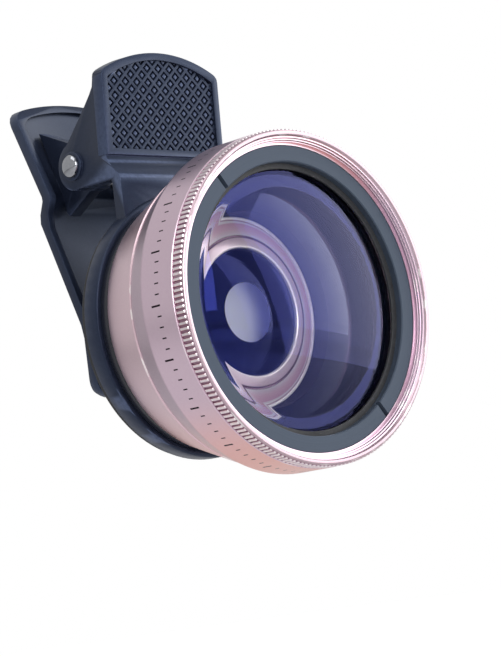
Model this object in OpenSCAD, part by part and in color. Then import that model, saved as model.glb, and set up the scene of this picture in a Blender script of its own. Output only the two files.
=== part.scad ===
// Clip-on lens for a phone: a spring clip that carries a macro lens with a wide angle lens on it.
// The lens looks along -Y and the clip's handles stand up along +Z.
// The origin lies on the optical axis, in the plane of the clip's front pad that meets the phone.
// Heights of turned pieces are depths in front of that plane, so a depth d lies at y = -d.

/* [Wide angle lens] */
// Diameter of the wide lens barrel
wide_d = 52.4; // [50.5:0.1:60]
// Length of the wide lens barrel from its seam to its front lip
wide_len = 14.1; // [12.5:0.1:20]
// How far the seam's edge is drawn in from the outside of the wide angle lens
seam_step = 1.95; // [0.5:0.05:4]
// Length of the tapered part behind the straight band
wide_taper_len = 4.8; // [2:0.1:6]
// Length of the knurled band behind the lip
knurl_len = 1.7; // [0.8:0.1:3]
// Number of knurl grooves round the barrel
knurl_count = 200; // [60:1:240]
// Depth of one knurl groove
knurl_depth = 0.3; // [0.1:0.05:0.4]
// Step from the smooth band down to the tops of the knurl
knurl_step = 0.06; // [0.03:0.01:0.15]
// Chamfer on the outer edge of the lip
lip_chamfer = 0.45; // [0.2:0.05:0.8]
// Wall of the lip outside the filter thread
lip_wall = 2.1; // [1.2:0.05:4]
// How far the pocket of the retaining ring is drawn in from the filter thread
thread_relief = 0.2; // [0.1:0.05:0.6]
// Length of the thread for filters
filter_thread_len = 1.6; // [1:0.1:3]
// Lead-in chamfer in front of the filter thread
thread_lead_in = 0.5; // [0.2:0.05:0.8]
// Width of the front retaining ring, from the filter thread inwards
front_ring_w = 2.8; // [1.5:0.05:5]
// Thickness of the front retaining ring
front_ring_t = 1.2; // [0.8:0.1:2]
// Width of the two spanner slots in the retaining ring
spanner_slot_w = 0.6; // [0.3:0.05:1.2]
// Width of the gasket on the rim of the front glass
gasket_w = 1.4; // [0.8:0.05:3]
// Thickness of the gasket in front of the glass
gasket_t = 0.5; // [0.3:0.05:0.8]
// How far the front glass is drawn in from the filter thread
glass_ledge = 2.3; // [1:0.05:4]
// Radius of curvature of the front glass's outer face
front_glass_outer_curve = 80; // [60:1:120]
// Radius of curvature of the front glass's inner face
front_glass_inner_curve = 48; // [40:1:90]
// Thickness of the front glass at its middle
front_glass_t = 2; // [1.5:0.1:3]
// Width of the flat rim on the back of the front glass
glass_rim_w = 3.8; // [2:0.1:6]

/* [Inside the wide lens] */
// Wall of the black baffle sleeve
baffle_wall = 0.8; // [0.5:0.05:1.2]
// Wall of the rear boss
boss_wall = 2.5; // [1.5:0.05:4]
// How far the rear boss is drawn in from the seam
boss_step = 4.75; // [3:0.05:7]
// Length of the threaded boss behind the barrel
boss_len = 4.6; // [4.2:0.1:4.7]
// Width of the rear cell's outer rim
cell_rim_w = 0.9; // [0.5:0.05:2]
// Width of the bright band inside the rim
cell_band_w = 0.9; // [0.5:0.05:2]
// Width of the cove between the band and the groove
cell_cove_w = 2.5; // [1:0.05:4]
// Width of the lip between the groove and the rear glass
cell_lip_w = 2.05; // [1:0.05:4]
// How far the lip covers the edge of the rear glass
rear_seat_w = 0.55; // [0.3:0.05:1]
// Thickness of the rear glass at its edge
rear_glass_edge_t = 1.6; // [1:0.1:2]
// Radius of curvature of the rear glass's outer face
rear_glass_curve = 34; // [26:1:60]
// Hole in the light stop as a share of the rear glass's clear radius
stop_share = 0.45; // [0.2:0.01:0.8]
// Thickness of the light stop
stop_t = 0.6; // [0.4:0.05:0.8]

/* [Macro lens] */
// Length of the macro lens barrel between its two shoulders
macro_len = 9.65; // [9.3:0.05:14]
// How far the macro lens tapers in on each side, from the seam to its rear
macro_taper = 3.35; // [0.5:0.05:5]
// Chamfer on both edges of the macro barrel
macro_chamfer = 0.22; // [0.1:0.02:0.4]
// Wall between the macro glass and the outside at the rear
macro_wall = 4.9; // [3:0.05:8]
// Thickness of the macro glass at its edge
macro_glass_edge_t = 1.5; // [1:0.1:2.2]
// Radius of curvature of the macro glass
macro_glass_curve = 50; // [45:1:90]
// Width of the seat behind the macro glass
macro_seat_w = 1.4; // [0.8:0.1:2]
// Thickness of that seat
macro_seat_t = 1.1; // [0.8:0.1:1.4]
// Height of the macro retaining ring
macro_ring_t = 1.8; // [1:0.1:2]
// Length of the male thread that screws into the clip
macro_thread_len = 3.6; // [2:0.1:3.9]

/* [Clip ring] */
// How far the clip's ring stands out past the macro lens on each side
ring_step = 0.55; // [0:0.05:2]
// Depth of the clip's ring along the optical axis
ring_t = 3; // [2.4:0.1:5]
// Rounding of the ring's front edge
ring_edge_r = 0.35; // [0.1:0.05:0.6]
// Wall of the clip's ring outside the lens thread
ring_wall = 3.4; // [2.6:0.05:5]
// Wall of the smooth threaded insert
insert_wall = 2.5; // [1.6:0.1:2.6]
// How far the threaded insert stands in front of the ring
insert_proud = 1.75; // [1:0.05:2.4]
// Thickness of the clip's back wall, behind the insert
back_wall_t = 0.6; // [0.4:0.1:0.9]
// Radius of the window for the camera in the clip's back wall
window_r = 9; // [6:0.1:12]
// Thickness of the rubber pad behind the ring
front_pad_t = 1.2; // [0.8:0.1:2]
// Distance of the rubber pad's hole from the window's edge
front_pad_hole_step = 0.5; // [0.2:0.1:2]

/* [Front jaw] */
// Width of the clip across its side walls
clip_w = 24.8; // [22:0.1:30]
// Height of the hinge pin above the optical axis
pivot_z = 28; // [27:0.1:34]
// Distance of the hinge pin behind the phone plane
pivot_y = 7.7; // [7.4:0.1:9]
// Height of the front handle from its bottom bar to its upper corners
handle_h = 13.5; // [11:0.1:18]
// Rise of the front handle's arched top
handle_arch = 3.4; // [1.5:0.1:5]
// Radius of the front handle's top corners
handle_corner = 1.6; // [0.8:0.1:3]
// Thickness of the front handle
handle_t = 2.4; // [1.8:0.1:3]
// Forward lean of the front handle in degrees
handle_lean = 3.4; // [0:0.1:8]
// Width of the raised frame round the grip
frame_w = 1.2; // [0.8:0.1:2]
// How far the frame stands proud of the side walls
frame_step = 0.08; // [0.03:0.01:0.3]
// Depth of the grip panel below its frame
panel_depth = 0.4; // [0.2:0.05:0.6]
// Thickness of the neck between the handle and the ring
neck_t = 2.2; // [1.8:0.1:2.6]
// How far the neck runs down in front of the ring's back wall
neck_sink = 9.45; // [6:0.05:12]
// Thickness of the front jaw's side walls
wall_t = 2.5; // [2:0.1:3]
// Radius of the rounded ears round the pin
ear_r = 3.9; // [3.4:0.1:4.5]
// Sideways distance between the cells of the grip
cell_pitch = 2.4; // [1.8:0.05:3.4]
// Width of one cell across its corners
cell_w = 1.66; // [1.2:0.02:1.8]
// Width of the stud in each cell across its corners
stud_w = 0.86; // [0.4:0.02:1]
// Depth of the groove round each stud
cell_depth = 0.5; // [0.2:0.05:0.7]

/* [Rear jaw] */
// Thickness of the rear jaw's rim, seen from the side
rear_t = 1.9; // [1.6:0.1:2.6]
// Width of the rear jaw's rim
rear_rim_w = 1.3; // [1:0.1:2]
// Depth of the rear jaw's recess inside its rim
rear_recess = 0.7; // [0.3:0.05:0.8]
// Lean of the rear handle in degrees
rear_handle_lean = 24; // [15:0.5:30]
// Length of the rear handle from the knee to its upper corners
rear_handle_len = 22; // [12:0.1:26]
// Rise of the arch along the top of the rear handle
rear_arch = 2; // [1:0.1:4]
// Radius of the rear jaw's corners
rear_corner = 3; // [1:0.1:5]
// How high the rear jaw's ears reach above the pin
ear_rise = 8.3; // [5:0.1:11]
// Distance of the knee behind the pin
knee_back = 10.1; // [9.2:0.1:12]
// Distance of the knee below the pin
knee_drop = 6.4; // [5.5:0.1:8]
// Height on the optical axis at which the foot begins
foot_top_z = 1.6; // [0:0.1:5]
// Lowest point of the foot
foot_low_z = -9.5; // [-12:0.1:-6]
// Thickness of the foot
foot_t = 2; // [1.6:0.1:3]
// Gap that the clip stands open by, as on the phone
grip_gap = 7.1; // [6:0.1:9]
// Thickness of the rear rubber pad
rear_pad_t = 1.2; // [0.8:0.1:1.6]
// Bare margin round the rear rubber pad
rear_pad_margin = 1.4; // [0.8:0.1:3]
// Thickness of the rear jaw's ears
rear_ear_t = 2.2; // [1.6:0.1:2.6]
// Gap between the ears of the two jaws
ear_gap = 1.1; // [0.8:0.1:1.6]

/* [Pin and spring] */
// Radius of the pin
pin_r = 1.5; // [1.2:0.05:1.8]
// Radius of the pin's domed head
pin_head_r = 1.85; // [1.7:0.05:2.4]
// Height of the pin's domed head
pin_head_t = 1.1; // [0.7:0.05:1.5]
// Radius of the collar round each end of the pin
collar_r = 2.35; // [2.1:0.05:3]
// Height of that collar
collar_t = 0.5; // [0.3:0.05:0.9]
// Thickness of the washer under the pin's riveted end
washer_t = 0.4; // [0.3:0.05:0.6]
// Radius of the spring's wire
wire_r = 0.55; // [0.4:0.05:0.65]
// Mean radius of the spring's coil
coil_r = 3.2; // [2.8:0.05:3.4]
// Whole turns of the spring's coil
coil_turns = 5; // [3:1:6]
// How high the spring's front leg reaches, as a share of the handle
front_leg_share = 0.7; // [0.3:0.05:0.9]
// Height of the rear leg's end above the pin
rear_leg_rise = 5.2; // [4:0.1:6]

/* [Fits] */
// Clearance of a turning thread or pin in its hole
run_gap = 0.05; // [0.02:0.01:0.08]
// Clearance between two shoulders that meet when screwed home
shoulder_gap = 0.05; // [0.02:0.01:0.1]
// Clearance between pieces of one lens
seat_gap = 0.05; // [0.02:0.01:0.1]
// Clearance beside a moving ear
side_gap = 0.3; // [0.2:0.05:0.5]

/* [Hidden] */
$fn = 96;

black = [0.09, 0.1, 0.13];
rose = [0.86, 0.66, 0.7];
slate = [0.36, 0.4, 0.48];
clear = [0.55, 0.6, 0.85, 0.5];
steel = [0.8, 0.81, 0.83];

// Lens and ring sizes that follow from the outside in
wide_seam_d = wide_d - 2 * seam_step;
filter_thread_r = wide_d / 2 - lip_wall;
front_ring_inner_r = filter_thread_r - front_ring_w;
front_glass_r = filter_thread_r - glass_ledge;
gasket_inner_r = front_glass_r - gasket_w;
front_glass_hollow_r = front_glass_r - glass_rim_w;
boss_r = wide_seam_d / 2 - boss_step;
boss_inner_r = boss_r - boss_wall;
cell_face_r = boss_inner_r - cell_rim_w;
cell_band_r = cell_face_r - cell_band_w;
cell_groove_r = cell_band_r - cell_cove_w;
rear_glass_clear_r = cell_groove_r - cell_lip_w;
rear_glass_r = rear_glass_clear_r + rear_seat_w;
stop_hole_r = rear_glass_clear_r * stop_share;
macro_rear_d = wide_seam_d - 2 * macro_taper;
macro_glass_r = macro_rear_d / 2 - macro_wall;
ring_d = macro_rear_d + 2 * ring_step;
clip_thread_r = ring_d / 2 - ring_wall;

// Depths in front of the phone plane
ring_back = front_pad_t;
ring_front = ring_back + ring_t;
insert_front = ring_front + insert_proud;
macro_back = insert_front + shoulder_gap;
macro_front = macro_back + macro_len;
wide_back = macro_front + shoulder_gap;
wide_front = wide_back + wide_len;
front_ring_face = wide_front - filter_thread_len;
front_ring_back = front_ring_face - front_ring_t;
glass_rim = front_ring_back - gasket_t;
boss_back = wide_back - boss_len;

// Clip sizes that follow from the ones above
ring_r = ring_d / 2;
insert_r = clip_thread_r + insert_wall;
half_w = clip_w / 2;
inner_w = half_w - wall_t;
ear_out = inner_w - ear_gap;
handle_z = pivot_z + 0.1;
front_leg_rise = handle_h * front_leg_share;
handle_y = -front_pad_t;
neck_front_y = -front_pad_t - neck_t;
neck_low_z = ring_r - neck_sink;
foot_y = grip_gap + rear_pad_t;
knee_y = pivot_y + knee_back;
knee_z = pivot_z - knee_drop;

// A turned piece on the optical axis, from points of radius and depth
module turned(points) {
    rotate([90, 0, 0]) rotate_extrude() polygon(points);
}

// A plain disc or plug on the optical axis between two depths
module disc(r, d1, d2) {
    rotate([90, 0, 0]) translate([0, 0, d1]) cylinder(r = r, h = d2 - d1);
}

// A ball centred on the optical axis
module ball(r, d) {
    translate([0, -d, 0]) sphere(r = r, $fn = 180);
}

// A side view outline in Y and Z, made into a wall that spans x1 to x2
module side_wall(x1, x2) {
    translate([x1, 0, 0]) rotate([90, 0, 90]) linear_extrude(x2 - x1) children();
}

// A rod or hole along X, centred on the pin's axis
module on_pin(r, x1, x2) {
    translate([x1, pivot_y, pivot_z]) rotate([0, 90, 0]) cylinder(r = r, h = x2 - x1, $fn = 48);
}

// Top of a handle across its width: a flat arc with a rounded corner at each end
function arched_top(w, rise, z, corner) =
    let (r = (w * w + rise * rise) / (2 * rise), low = z + rise - r,
        turn = asin((w - corner) / (r - corner)), corner_z = low + (r - corner) * cos(turn))
    concat([for (i = [0:4]) let (a = (90 - turn) * i / 4) [w - corner + corner * cos(a), corner_z + corner * sin(a)]],
        [for (i = [1:23]) let (t = turn - turn * i / 12) [r * sin(t), low + r * cos(t)]],
        [for (i = [4:-1:0]) let (a = (90 - turn) * i / 4)
            [-w + corner - corner * cos(a), corner_z + corner * sin(a)]]);

// Points of a lens face from its edge to the axis, for a curve that starts at a depth
function lens_face(curve, edge_r, d, n = 16) =
    let (a = asin(edge_r / curve))
    [for (i = [0:n]) let (t = a * (1 - i / n)) [curve * sin(t), d + curve * (cos(t) - cos(a))]];

// Wide angle lens

// Outline of the knurled band, with square grooves between the teeth
module knurl_outline() {
    tooth = 360 / knurl_count;
    top_r = wide_d / 2 - knurl_step;
    groove_r = top_r - knurl_depth;
    polygon([for (i = [0:knurl_count - 1]) each [
        [groove_r * cos(i * tooth), groove_r * sin(i * tooth)],
        [top_r * cos((i + 0.12) * tooth), top_r * sin((i + 0.12) * tooth)],
        [top_r * cos((i + 0.6) * tooth), top_r * sin((i + 0.6) * tooth)],
        [groove_r * cos((i + 0.72) * tooth), groove_r * sin((i + 0.72) * tooth)]]]);
}

module wide_barrel() {
    r = wide_d / 2;
    knurl_front = wide_front - lip_chamfer;
    knurl_back = knurl_front - knurl_len;
    seat_r = front_glass_r + seat_gap;
    core_r = r - knurl_step - knurl_depth - 0.3;
    boss_lip = boss_inner_r - 0.6;
    color(rose) {
        turned([
            [boss_lip, boss_back], [boss_r, boss_back], [boss_r, wide_back], [wide_seam_d / 2 - 0.2, wide_back],
            [wide_seam_d / 2, wide_back + 0.2], [r, wide_back + wide_taper_len], [r, knurl_back],
            [core_r, knurl_back], [core_r, knurl_front], [r - knurl_step - 0.12, knurl_front],
            [r - lip_chamfer, wide_front], [filter_thread_r + thread_lead_in, wide_front],
            [filter_thread_r, wide_front - thread_lead_in], [filter_thread_r, front_ring_face],
            [filter_thread_r - thread_relief, front_ring_face], [filter_thread_r - thread_relief, front_ring_back],
            [seat_r, front_ring_back], [seat_r, glass_back()], [baffle_r(), glass_back()],
            [baffle_r(), wide_back + 0.3], [boss_inner_r, wide_back + 0.3],
            [boss_inner_r, boss_back + 0.4], [boss_lip, boss_back + 0.4]]);
        translate([0, -knurl_back, 0]) rotate([90, 0, 0]) linear_extrude(knurl_len) difference() {
            knurl_outline();
            circle(r = core_r - 0.5);
        }
    }
}

// Depth of the flat rim behind the front glass
function glass_back() = glass_front_top() - front_glass_t
    - (front_glass_inner_curve - sqrt(pow(front_glass_inner_curve, 2) - pow(front_glass_hollow_r, 2)));

// Depth of the front glass's highest point
function glass_front_top() = glass_rim + front_glass_outer_curve
    - sqrt(pow(front_glass_outer_curve, 2) - pow(gasket_inner_r, 2));

// Radius of the hollow that holds the baffle
function baffle_r() = front_glass_r - 1.5;

module front_glass() {
    color(clear) difference() {
        intersection() {
            disc(front_glass_r, glass_back(), glass_front_top() + 1);
            ball(front_glass_outer_curve, glass_front_top() - front_glass_outer_curve);
            union() {
                disc(front_glass_r, glass_back(), glass_rim);
                disc(gasket_inner_r, glass_rim - 1, glass_front_top() + 1);
            }
        }
        intersection() {
            ball(front_glass_inner_curve, glass_front_top() - front_glass_t - front_glass_inner_curve);
            disc(front_glass_hollow_r, glass_back() - 1, glass_front_top());
        }
    }
}

module front_retaining_ring() {
    ring_outer_r = filter_thread_r - thread_relief - seat_gap;
    width = ring_outer_r - front_ring_inner_r;
    color(slate) difference() {
        turned([[front_ring_inner_r, front_ring_back], [ring_outer_r, front_ring_back],
            [ring_outer_r, front_ring_face], [front_ring_inner_r + 0.15, front_ring_face],
            [front_ring_inner_r, front_ring_face - 0.15]]);
        for (turn = [0, 180]) rotate([0, 52 + turn, 0])
            translate([front_ring_inner_r - 1, -front_ring_face - 1, -spanner_slot_w / 2])
                cube([width + 2, 1 + front_ring_t * 0.7, spanner_slot_w]);
    }
}

module front_gasket() {
    color(black) turned([[gasket_inner_r, glass_rim], [front_glass_r, glass_rim],
        [front_glass_r, front_ring_back], [gasket_inner_r, front_ring_back]]);
}

module light_baffle() {
    outer_r = baffle_r() - seat_gap;
    tube_r = boss_inner_r - seat_gap;
    floor_d = wide_back + 0.3;
    low = cell_shelf() + seat_gap;
    color(black) turned([[tube_r, low], [tube_r, floor_d], [outer_r, floor_d], [outer_r, glass_back()],
        [outer_r - baffle_wall, glass_back()], [outer_r - baffle_wall, floor_d + baffle_wall + 2],
        [tube_r - baffle_wall, floor_d + baffle_wall], [tube_r - baffle_wall, low]]);
}

// Depth of the shelf on the rear cell that carries the baffle
function cell_shelf() = boss_back + 1.8;

// Depth of the rear cell's lip in front of the rear glass
function rear_lip_back() = boss_back + 0.4 + stop_t + rear_glass_edge_t;

module rear_cell() {
    shelf = cell_shelf();
    bottom = boss_back + 0.4;
    outer_r = boss_inner_r - seat_gap;
    bore_r = rear_glass_r + seat_gap;
    top = rear_lip_back() + 0.7;
    band = top - 0.5;
    color(rose) turned(concat([
        [bore_r, bottom], [outer_r, bottom], [outer_r, shelf], [cell_face_r, shelf],
        [cell_face_r, shelf + 0.4], [cell_face_r - 0.35, shelf + 0.4], [cell_face_r - 0.35, shelf + 0.15],
        [cell_band_r, shelf + 0.15], [cell_band_r, shelf + 0.5]],
        [for (i = [1:8]) let (t = i / 8)
            [cell_band_r + (cell_groove_r + 0.12 - cell_band_r) * t,
             shelf + 0.5 + (band - shelf - 0.5) * t + 0.25 * (t * t - t)]],
        [[cell_groove_r + 0.12, band - 0.25], [cell_groove_r - 0.12, band - 0.25],
        [cell_groove_r - 0.12, band + 0.05], [rear_glass_clear_r + 0.25, top],
        [rear_glass_clear_r, top - 0.2], [rear_glass_clear_r, rear_lip_back()],
        [bore_r, rear_lip_back()]]));
}

module rear_glass() {
    back = boss_back + 0.4 + stop_t;
    front = rear_lip_back();
    color(clear) turned(concat([[0, back], [rear_glass_r, back], [rear_glass_r, front]],
        lens_face(rear_glass_curve, rear_glass_clear_r - seat_gap, front)));
}

module light_stop() {
    back = boss_back + 0.4;
    color(black) difference() {
        turned([[stop_hole_r + 0.3, back], [rear_glass_r, back], [rear_glass_r, back + stop_t],
            [stop_hole_r, back + stop_t]]);
        for (turn = [0, 180]) rotate([0, turn, 0])
            translate([rear_glass_r - 1.2, -back - stop_t / 2, -0.4]) cube([2, stop_t, 0.8]);
    }
}

// Macro lens

module macro_barrel() {
    male_r = clip_thread_r - run_gap;
    bore_r = boss_r + run_gap;
    floor_d = boss_back - 0.2;
    glass_bore_r = macro_glass_r + seat_gap;
    seat_d = macro_seat_d();
    color(rose) turned([
        [macro_glass_r - macro_seat_w, seat_d - macro_seat_t], [male_r - 1.2, macro_back - macro_thread_len],
        [male_r - 0.3, macro_back - macro_thread_len], [male_r, macro_back - macro_thread_len + 0.3],
        [male_r, macro_back], [macro_rear_d / 2 - macro_chamfer, macro_back],
        [macro_rear_d / 2, macro_back + macro_chamfer], [wide_seam_d / 2, macro_front - macro_chamfer],
        [wide_seam_d / 2 - macro_chamfer, macro_front], [bore_r, macro_front], [bore_r, floor_d],
        [glass_bore_r, floor_d], [glass_bore_r, seat_d], [macro_glass_r - macro_seat_w, seat_d]]);
}

// Depth of the seat behind the macro glass
function macro_seat_d() = macro_back - 0.5;

module macro_glass() {
    back = macro_seat_d();
    front = back + macro_glass_edge_t;
    color(clear) turned(concat([[0, back], [macro_glass_r, back], [macro_glass_r, front]],
        lens_face(macro_glass_curve, macro_glass_r - macro_seat_w, front)));
}

module macro_retaining_ring() {
    back = macro_seat_d() + macro_glass_edge_t;
    color(black) difference() {
        turned([[macro_glass_r - macro_seat_w + seat_gap, back], [macro_glass_r, back],
            [macro_glass_r, back + macro_ring_t], [macro_glass_r - macro_seat_w + seat_gap, back + macro_ring_t]]);
        for (turn = [0, 180]) rotate([0, turn, 0])
            translate([macro_glass_r - macro_seat_w - 1, -back - macro_ring_t - 1, -0.4])
                cube([macro_seat_w + 2, 1.6, 0.8]);
    }
}

// Clip ring

module thread_insert() {
    back = ring_back + back_wall_t;
    color(black) turned([[clip_thread_r, back], [insert_r, back], [insert_r, insert_front - 0.25],
        [insert_r - 0.25, insert_front], [clip_thread_r + 0.3, insert_front],
        [clip_thread_r, insert_front - 0.3]]);
}

module front_pad() {
    hole_r = window_r + front_pad_hole_step;
    outer_r = ring_r - 0.35;
    color(black) turned([[hole_r, 0], [outer_r - 0.25, 0], [outer_r, 0.25],
        [outer_r, front_pad_t], [hole_r, front_pad_t]]);
}

// The clip's ring before its bore is cut
module ring_body() {
    turned([[0, ring_back], [ring_r, ring_back], [ring_r, ring_front - ring_edge_r],
        [ring_r - ring_edge_r * 0.3, ring_front - ring_edge_r * 0.3], [ring_r - ring_edge_r, ring_front],
        [0, ring_front]]);
}

// Front jaw

// Front line of the neck in the side view, from the handle down to the ring
function neck_line(back) = [for (i = [0:10]) let (t = i / 10)
    [handle_y + 0.6 + (neck_front_y - handle_y - 0.6) * (1 - cos(180 * t)) / 2 + back,
     handle_z - 0.1 - 4.7 * t]];

// Side view of the front jaw's outer walls
module front_side() {
    lean = tan(handle_lean);
    top_z = handle_z + handle_h - 0.2;
    front_top = handle_y - handle_h * lean;
    difference() {
        union() {
            translate([pivot_y, pivot_z]) circle(r = ear_r, $fn = 64);
            polygon(concat([[front_top + frame_step, top_z], [handle_y + frame_step, handle_z + 0.2]],
                neck_line(0), [
                [neck_front_y, neck_low_z], [neck_front_y + neck_t, neck_low_z], [neck_front_y + neck_t, pivot_z - 4.1],
                [pivot_y - 1, pivot_z - ear_r + 0.1], [pivot_y + 1.2, pivot_z + ear_r - 0.2],
                [pivot_y - 4.2, pivot_z + 8.7], [pivot_y - 5.9, pivot_z + 10.4],
                [front_top + handle_t + 0.5, top_z - 1.9], [front_top + handle_t, top_z]]));
        }
        hull() {
            translate([neck_front_y + neck_t + 2.4, pivot_z - 6.4]) circle(r = 2.4, $fn = 48);
            translate([neck_front_y + neck_t + 2.4, 5]) circle(r = 2.4, $fn = 48);
            translate([pivot_y + 4, pivot_z - 6.4]) circle(r = 2.4, $fn = 48);
        }
    }
}

// Side view of the plate that joins the two walls below the handle
module neck_side() {
    polygon(concat([[handle_y + 0.3, handle_z + 1], [handle_y + frame_step, handle_z + 0.2]], neck_line(0),
        [[neck_front_y, neck_low_z], [neck_front_y + neck_t, neck_low_z]],
        [for (i = [0:10]) neck_line(neck_t)[10 - i]],
        [[handle_y + handle_t - 0.3, handle_z + 0.2], [handle_y + handle_t - 0.3, handle_z + 1]]));
}

// Outline of the handle seen from the front, drawn in by an inset
module handle_outline(inset) {
    w = half_w + frame_step - inset;
    polygon(concat(arched_top(w, handle_arch - inset * 0.2, handle_h - inset * 0.8, handle_corner - inset * 0.9),
        [[-w, inset > 0 ? frame_w - 0.2 : 0], [w, inset > 0 ? frame_w - 0.2 : 0]]));
}

// The grooves that leave a stud in the middle of each cell
module grip_cells() {
    row = cell_pitch / 2;
    rows = ceil((handle_h + handle_arch) / row);
    columns = ceil(half_w / cell_pitch);
    for (j = [0:rows]) for (i = [-columns:columns])
        translate([(i + (j % 2) / 2) * cell_pitch, j * row]) difference() {
            circle(d = cell_w, $fn = 4);
            circle(d = stud_w, $fn = 4);
        }
}

// Places what is drawn in the handle's plane, with its face forward and its foot at the bar
module in_handle() {
    translate([0, handle_y, handle_z]) rotate([handle_lean, 0, 0]) rotate([90, 0, 0]) children();
}

module front_jaw() {
    bar_inset = frame_w;
    color(black) difference() {
        union() {
            ring_body();
            side_wall(-half_w, half_w) neck_side();
            for (x = [-half_w, inner_w]) side_wall(x, x + wall_t) front_side();
            in_handle() translate([0, 0, -handle_t]) linear_extrude(handle_t) handle_outline(0);
            on_pin(collar_r, -half_w - collar_t, -half_w + 0.1);
            on_pin(collar_r, half_w - 0.1, half_w + collar_t);
        }
        disc(insert_r, ring_back + back_wall_t, insert_front + 1);
        disc(window_r, -4, insert_front);
        on_pin(pin_r + run_gap, -half_w - 2, half_w + 2);
        in_handle() translate([0, 0, -panel_depth]) linear_extrude(panel_depth + 1) handle_outline(bar_inset);
        in_handle() translate([0, 0, -panel_depth - cell_depth]) linear_extrude(cell_depth + 0.01)
            intersection() {
                grip_cells();
                handle_outline(bar_inset);
            }
    }
}

// Rear jaw

// Outer line of the rear jaw in the side view, from the top down to the foot
function rear_line() = [
    [knee_y - 1.05 + (rear_handle_len - 3.2) * sin(rear_handle_lean), knee_z + 3.2 + (rear_handle_len - 3.2)
        * cos(rear_handle_lean)],
    [knee_y - 1.05, knee_z + 3.2], [knee_y - 1.1, knee_z + 2.5], [knee_y - 0.15, knee_z + 0.4],
    [knee_y, knee_z - 1.1], [foot_y + foot_t + 0.4, foot_top_z + 0.9], [foot_y + foot_t, foot_top_z - 1.2],
    [foot_y + foot_t, foot_low_z + 1.2]];

// The rear jaw's side view with a given thickness, inward from the outer line
module rear_side(t) {
    line = rear_line();
    shift = t / cos(rear_handle_lean);
    polygon(concat(line, [[foot_y + foot_t - 0.6, foot_low_z], [foot_y + foot_t - t, foot_low_z],
        [foot_y + foot_t - t, foot_top_z]],
        [for (i = [4:-1:0]) [line[i][0] - shift, line[i][1] - (i > 3 ? 1 : 0)]]));
}

// Outline of the rear jaw seen from behind
module rear_outline(inset) {
    w = half_w - inset;
    top = knee_z + 3.2 + (rear_handle_len - 3.2) * cos(rear_handle_lean);
    low = foot_low_z + inset;
    polygon(concat(arched_top(w, rear_arch, top - rear_arch - inset, rear_corner),
        [for (a = [0:15:90]) [-w + rear_corner - rear_corner * cos(a), low + rear_corner - rear_corner * sin(a)]],
        [for (a = [90:-15:0]) [w - rear_corner + rear_corner * cos(a), low + rear_corner - rear_corner * sin(a)]]));
}

// Everything within an outline seen from behind
module within_rear(inset) {
    span = 2 * (knee_y + rear_handle_len);
    translate([0, span / 2, 0]) rotate([90, 0, 0]) linear_extrude(span) rear_outline(inset);
}

// Side view of the rear jaw's ears
module rear_ear_side() {
    y1 = knee_y + (pivot_z + ear_rise - knee_z) * tan(rear_handle_lean) - rear_t;
    y2 = knee_y - rear_t - 1.5;
    translate([pivot_y, pivot_z]) circle(r = ear_r - 0.1, $fn = 64);
    polygon([[y1 - 2.5, pivot_z + ear_rise], [pivot_y + 1.4, pivot_z + ear_r - 0.4], [pivot_y - 0.2, pivot_z - ear_r + 0.1],
        [pivot_y + 1, pivot_z - ear_r + 0.1], [y2, knee_z - 0.4], [y2 + 0.8, knee_z + 0.4],
        [y2 + 1.2, knee_z + 3]]);
}

// The layer that is taken off inside the rear jaw's rim, down to the top of its foot
module rear_recess_side() {
    difference() {
        rear_side(rear_t);
        rear_side(rear_t - rear_recess);
        translate([0, foot_low_z - 5]) square([knee_y, foot_top_z + 2.4 - foot_low_z + 5]);
    }
}

module rear_jaw() {
    color(black) difference() {
        union() {
            difference() {
                intersection() {
                    side_wall(-half_w, half_w) rear_side(rear_t);
                    within_rear(0);
                }
                intersection() {
                    side_wall(-half_w, half_w) rear_recess_side();
                    within_rear(rear_rim_w);
                }
            }
            for (x = [-ear_out, ear_out - rear_ear_t]) side_wall(x, x + rear_ear_t) rear_ear_side();
            on_pin(2.6, -inner_w + side_gap, -ear_out + 0.1);
            on_pin(2.6, ear_out - 0.1, inner_w - side_gap);
        }
        on_pin(pin_r + run_gap, -half_w, half_w);
    }
}

module rear_pad() {
    w = half_w - rear_pad_margin;
    low = foot_low_z + rear_pad_margin;
    high = foot_top_z - 0.4;
    color(black) translate([0, foot_y, 0]) rotate([90, 0, 0]) linear_extrude(rear_pad_t)
        hull() for (x = [-w + 1.5, w - 1.5], z = [low + 1.5, high - 1.5])
            translate([x, z]) circle(r = 1.5, $fn = 32);
}

// Pin and spring

// Points of a domed head that ends at a depth along the pin
function dome(x, side) = [for (i = [0:8]) let (a = 90 * (side > 0 ? i : 8 - i) / 8)
    [pin_head_r * cos(a), x + side * (0.25 + (pin_head_t - 0.25) * sin(a))]];

module pivot_pin() {
    left = half_w + collar_t;
    right = half_w + collar_t + washer_t;
    color(steel) translate([0, pivot_y, pivot_z]) rotate([0, 90, 0]) rotate_extrude()
        polygon(concat(dome(-left, -1), [[pin_head_r, -left], [pin_r, -left],
            [pin_r, right], [pin_head_r, right]], dome(right, 1)));
}

module pin_washer() {
    end = half_w + collar_t;
    color(steel) difference() {
        on_pin(collar_r, end, end + washer_t);
        on_pin(pin_r + seat_gap, end - 1, end + washer_t + 1);
    }
}

// Angle at which a leg that ends at dy, dz from the pin leaves the coil
function leg_angle(dy, dz, side) = atan2(dz, dy) + side * acos(coil_r / norm([dy, dz]));

// One point of the coil at an angle, with its place along the pin
function coil_point(a, x) = [x, pivot_y + coil_r * cos(a), pivot_z + coil_r * sin(a)];

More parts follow.
